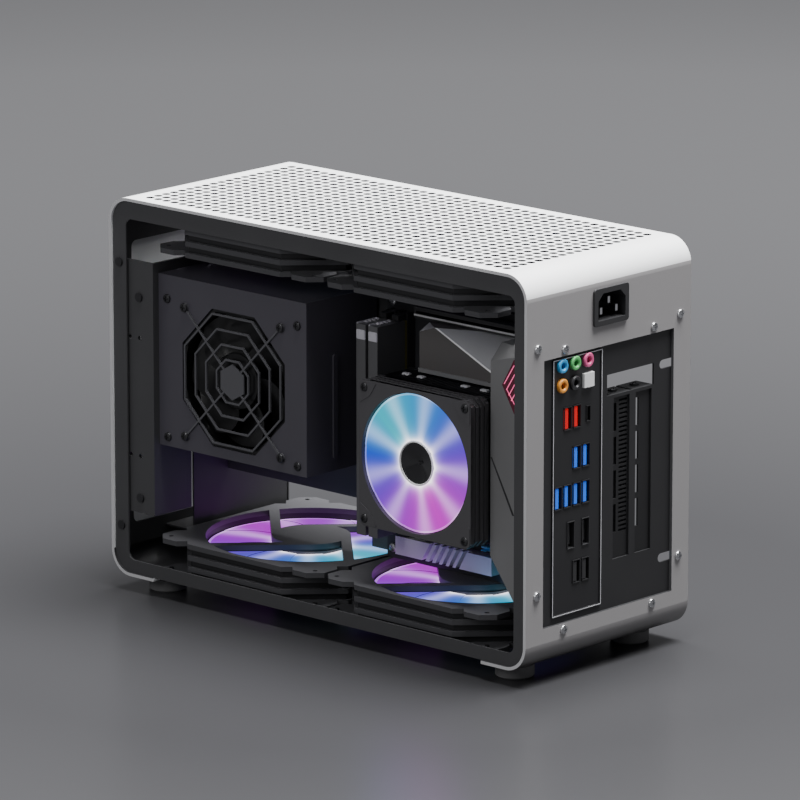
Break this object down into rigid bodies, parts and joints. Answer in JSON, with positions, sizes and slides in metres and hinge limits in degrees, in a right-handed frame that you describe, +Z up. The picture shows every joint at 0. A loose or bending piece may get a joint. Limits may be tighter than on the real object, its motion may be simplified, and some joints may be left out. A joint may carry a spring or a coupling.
{
  "type": "computer case",
  "caption": "Small white computer case with a perforated top and open sides, showing its board, power supply, cooler and lit fans.",
  "frame": {"origin": "middle of the bounding box on the floor plane, under the feet", "axes": "+Z up, front towards -Y, rear with its ports towards +Y, open board side towards +X"},
  "size_m": [0.15, 0.3532, 0.254],
  "materials": {
    "shell_white": "white satin coat on folded sheet",
    "frame_black": "matt black coat on sheet steel",
    "foot_rubber": "black rubber",
    "bright_steel": "bright zinc",
    "black_screw": "black oxide",
    "black_plastic": "matt black",
    "shield_dark": "dark coat with a bright rim",
    "board_black": "black laminate",
    "brass": "plain brass",
    "cpu_metal": "plated lid",
    "fin_dark": "dark anodised fins",
    "fan_glow": "milky translucent blades that are lit from the hub",
    "fan_black": "gloss black",
    "spreader_black": "black anodised",
    "cover_grey": "dark grey, faceted",
    "drive_grey": "pale grey anodised",
    "jack_colour": "coloured rings, one colour for each jack",
    "optical_white": "white",
    "usb_red": "red",
    "usb_blue": "blue",
    "psu_coat": "fine textured black coat",
    "wire_black": "black coated wire",
    "button_metal": "satin"
  },
  "bodies": {
    "case": {"outer_shell": "shell_white", "feet": "foot_rubber", "rear_screws": "bright_steel", "near_frame": "frame_black", "far_frame": "frame_black", "front_plate": "frame_black", "rear_plate": "frame_black", "slot_covers": "frame_black", "slot_screws": "black_screw", "tray": "frame_black", "front_brace": "frame_black", "psu_bracket": "frame_black", "frame_screws": "black_screw", "power_inlet": "black_plastic", "inlet_pins": "bright_steel", "io_shield": "shield_dark", "motherboard": "board_black", "standoffs": "brass", "board_screws": "bright_steel", "cpu": "cpu_metal", "cooler_heatsink": "fin_dark", "cooler_fan_frame": "black_plastic", "cooler_screws": "black_screw", "dimm_slots": "black_plastic", "ram_sticks": "spreader_black", "io_cover": "cover_grey", "pcie_slot": "bright_steel", "m2_heatsink": "drive_grey", "board_headers": "black_plastic", "audio_block": "black_plastic", "audio_jacks": "jack_colour", "optical_port": "optical_white", "usb_shells": "bright_steel", "usb_tongues_red": "usb_red", "usb_tongues_blue": "usb_blue", "usb_tongues_black": "black_plastic", "video_ports": "black_plastic", "psu_case": "psu_coat", "psu_grille": "wire_black", "psu_fan_frame": "black_plastic", "psu_screws": "black_screw", "psu_inlet": "black_plastic", "psu_board": "board_black", "top_fan_frame_1": "black_plastic", "top_fan_frame_2": "black_plastic", "bottom_fan_frame_1": "black_plastic", "bottom_fan_frame_2": "black_plastic", "fan_screws": "black_screw", "button_housing": "black_plastic"},
    "cooler_fan": {"cooler_fan_rotor": "fan_glow"},
    "psu_fan": {"psu_fan_rotor": "fan_black"},
    "top_fan_1": {"top_fan_rotor_1": "fan_glow"},
    "top_fan_2": {"top_fan_rotor_2": "fan_glow"},
    "bottom_fan_1": {"bottom_fan_rotor_1": "fan_glow"},
    "bottom_fan_2": {"bottom_fan_rotor_2": "fan_glow"},
    "latch_1": {"dimm_latch_1": "black_plastic"},
    "latch_2": {"dimm_latch_2": "black_plastic"},
    "rocker": {"psu_switch": "fan_black"},
    "button": {"power_button": "button_metal"}
  },
  "joints": [
    {"name": "cooler_fan_spin", "type": "hinge", "parent": "case", "child": "cooler_fan", "pos_m": [0.0676, 0.0779, 0.1224], "axis": [1, 0, 0], "continuous": true},
    {"name": "psu_fan_spin", "type": "hinge", "parent": "case", "child": "psu_fan", "pos_m": [0.0648, -0.0759, 0.1479], "axis": [1, 0, 0], "continuous": true},
    {"name": "top_fan_1_spin", "type": "hinge", "parent": "case", "child": "top_fan_1", "pos_m": [0, -0.0725, 0.222], "axis": [0, 0, 1], "continuous": true},
    {"name": "top_fan_2_spin", "type": "hinge", "parent": "case", "child": "top_fan_2", "pos_m": [0, 0.0705, 0.222], "axis": [0, 0, 1], "continuous": true},
    {"name": "bottom_fan_1_spin", "type": "hinge", "parent": "case", "child": "bottom_fan_1", "pos_m": [0, -0.0725, 0.0132], "axis": [0, 0, 1], "continuous": true},
    {"name": "bottom_fan_2_spin", "type": "hinge", "parent": "case", "child": "bottom_fan_2", "pos_m": [0, 0.0705, 0.0132], "axis": [0, 0, 1], "continuous": true},
    {"name": "latch_1_swing", "type": "hinge", "parent": "case", "child": "latch_1", "pos_m": [0.0113, 0.0099, 0.19635], "axis": [0, -1, 0], "range_deg": [0, 30]},
    {"name": "latch_2_swing", "type": "hinge", "parent": "case", "child": "latch_2", "pos_m": [0.0113, 0.0199, 0.19635], "axis": [0, -1, 0], "range_deg": [0, 30]},
    {"name": "rocker_tilt", "type": "hinge", "parent": "case", "child": "rocker", "pos_m": [0.03425, -0.1365, 0.164], "axis": [1, 0, 0], "range_deg": [-12, 12]},
    {"name": "button_push", "type": "slide", "parent": "case", "child": "button", "axis": [0, 1, 0], "range_m": [0, 0.0012], "stiffness_N_per_m": 400, "springref_m": -0.001}
  ]
}
